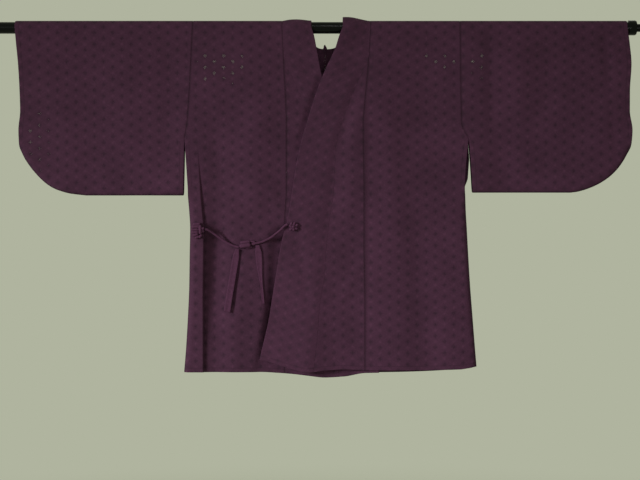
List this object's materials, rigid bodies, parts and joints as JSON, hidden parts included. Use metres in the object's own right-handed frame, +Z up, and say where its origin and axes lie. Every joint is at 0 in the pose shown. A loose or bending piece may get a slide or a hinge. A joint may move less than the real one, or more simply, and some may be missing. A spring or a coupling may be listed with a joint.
{
  "type": "dochugi coat on a hanging rod",
  "caption": "Short kimono-style travelling coat in openwork lattice cloth, crossed front held by knotted ties, hung flat over a round rod through its sleeves.",
  "frame": {"origin": "on the rod's axis at the coat's centre back, where the rod is held", "axes": "+X along the rod to the wearer's left, -Y out of the coat's front, +Z up"},
  "size_m": [1.44, 0.05, 0.7732],
  "materials": {
    "coat_cloth": "matt openwork leno weave with a small diamond lattice of holes",
    "tie_cloth": "matt rolled and folded cloth tube",
    "rod_enamel": "gloss black enamel"
  },
  "bodies": {
    "root": {"body_right": "coat_cloth", "body_left": "coat_cloth", "sleeve_right": "coat_cloth", "sleeve_left": "coat_cloth", "okumi_right": "coat_cloth", "okumi_left": "coat_cloth", "collar_right": "coat_cloth", "collar_left": "coat_cloth", "hanging_loop": "tie_cloth", "ornament_side": "tie_cloth", "ornament_front": "tie_cloth", "tie_strand_side": "tie_cloth", "tie_strand_front": "tie_cloth", "tie_knot": "tie_cloth", "tie_tail_side": "tie_cloth", "tie_tail_front": "tie_cloth", "rod": "rod_enamel", "rod_coupler": "rod_enamel", "rod_inner": "rod_enamel"}
  },
  "joints": []
}
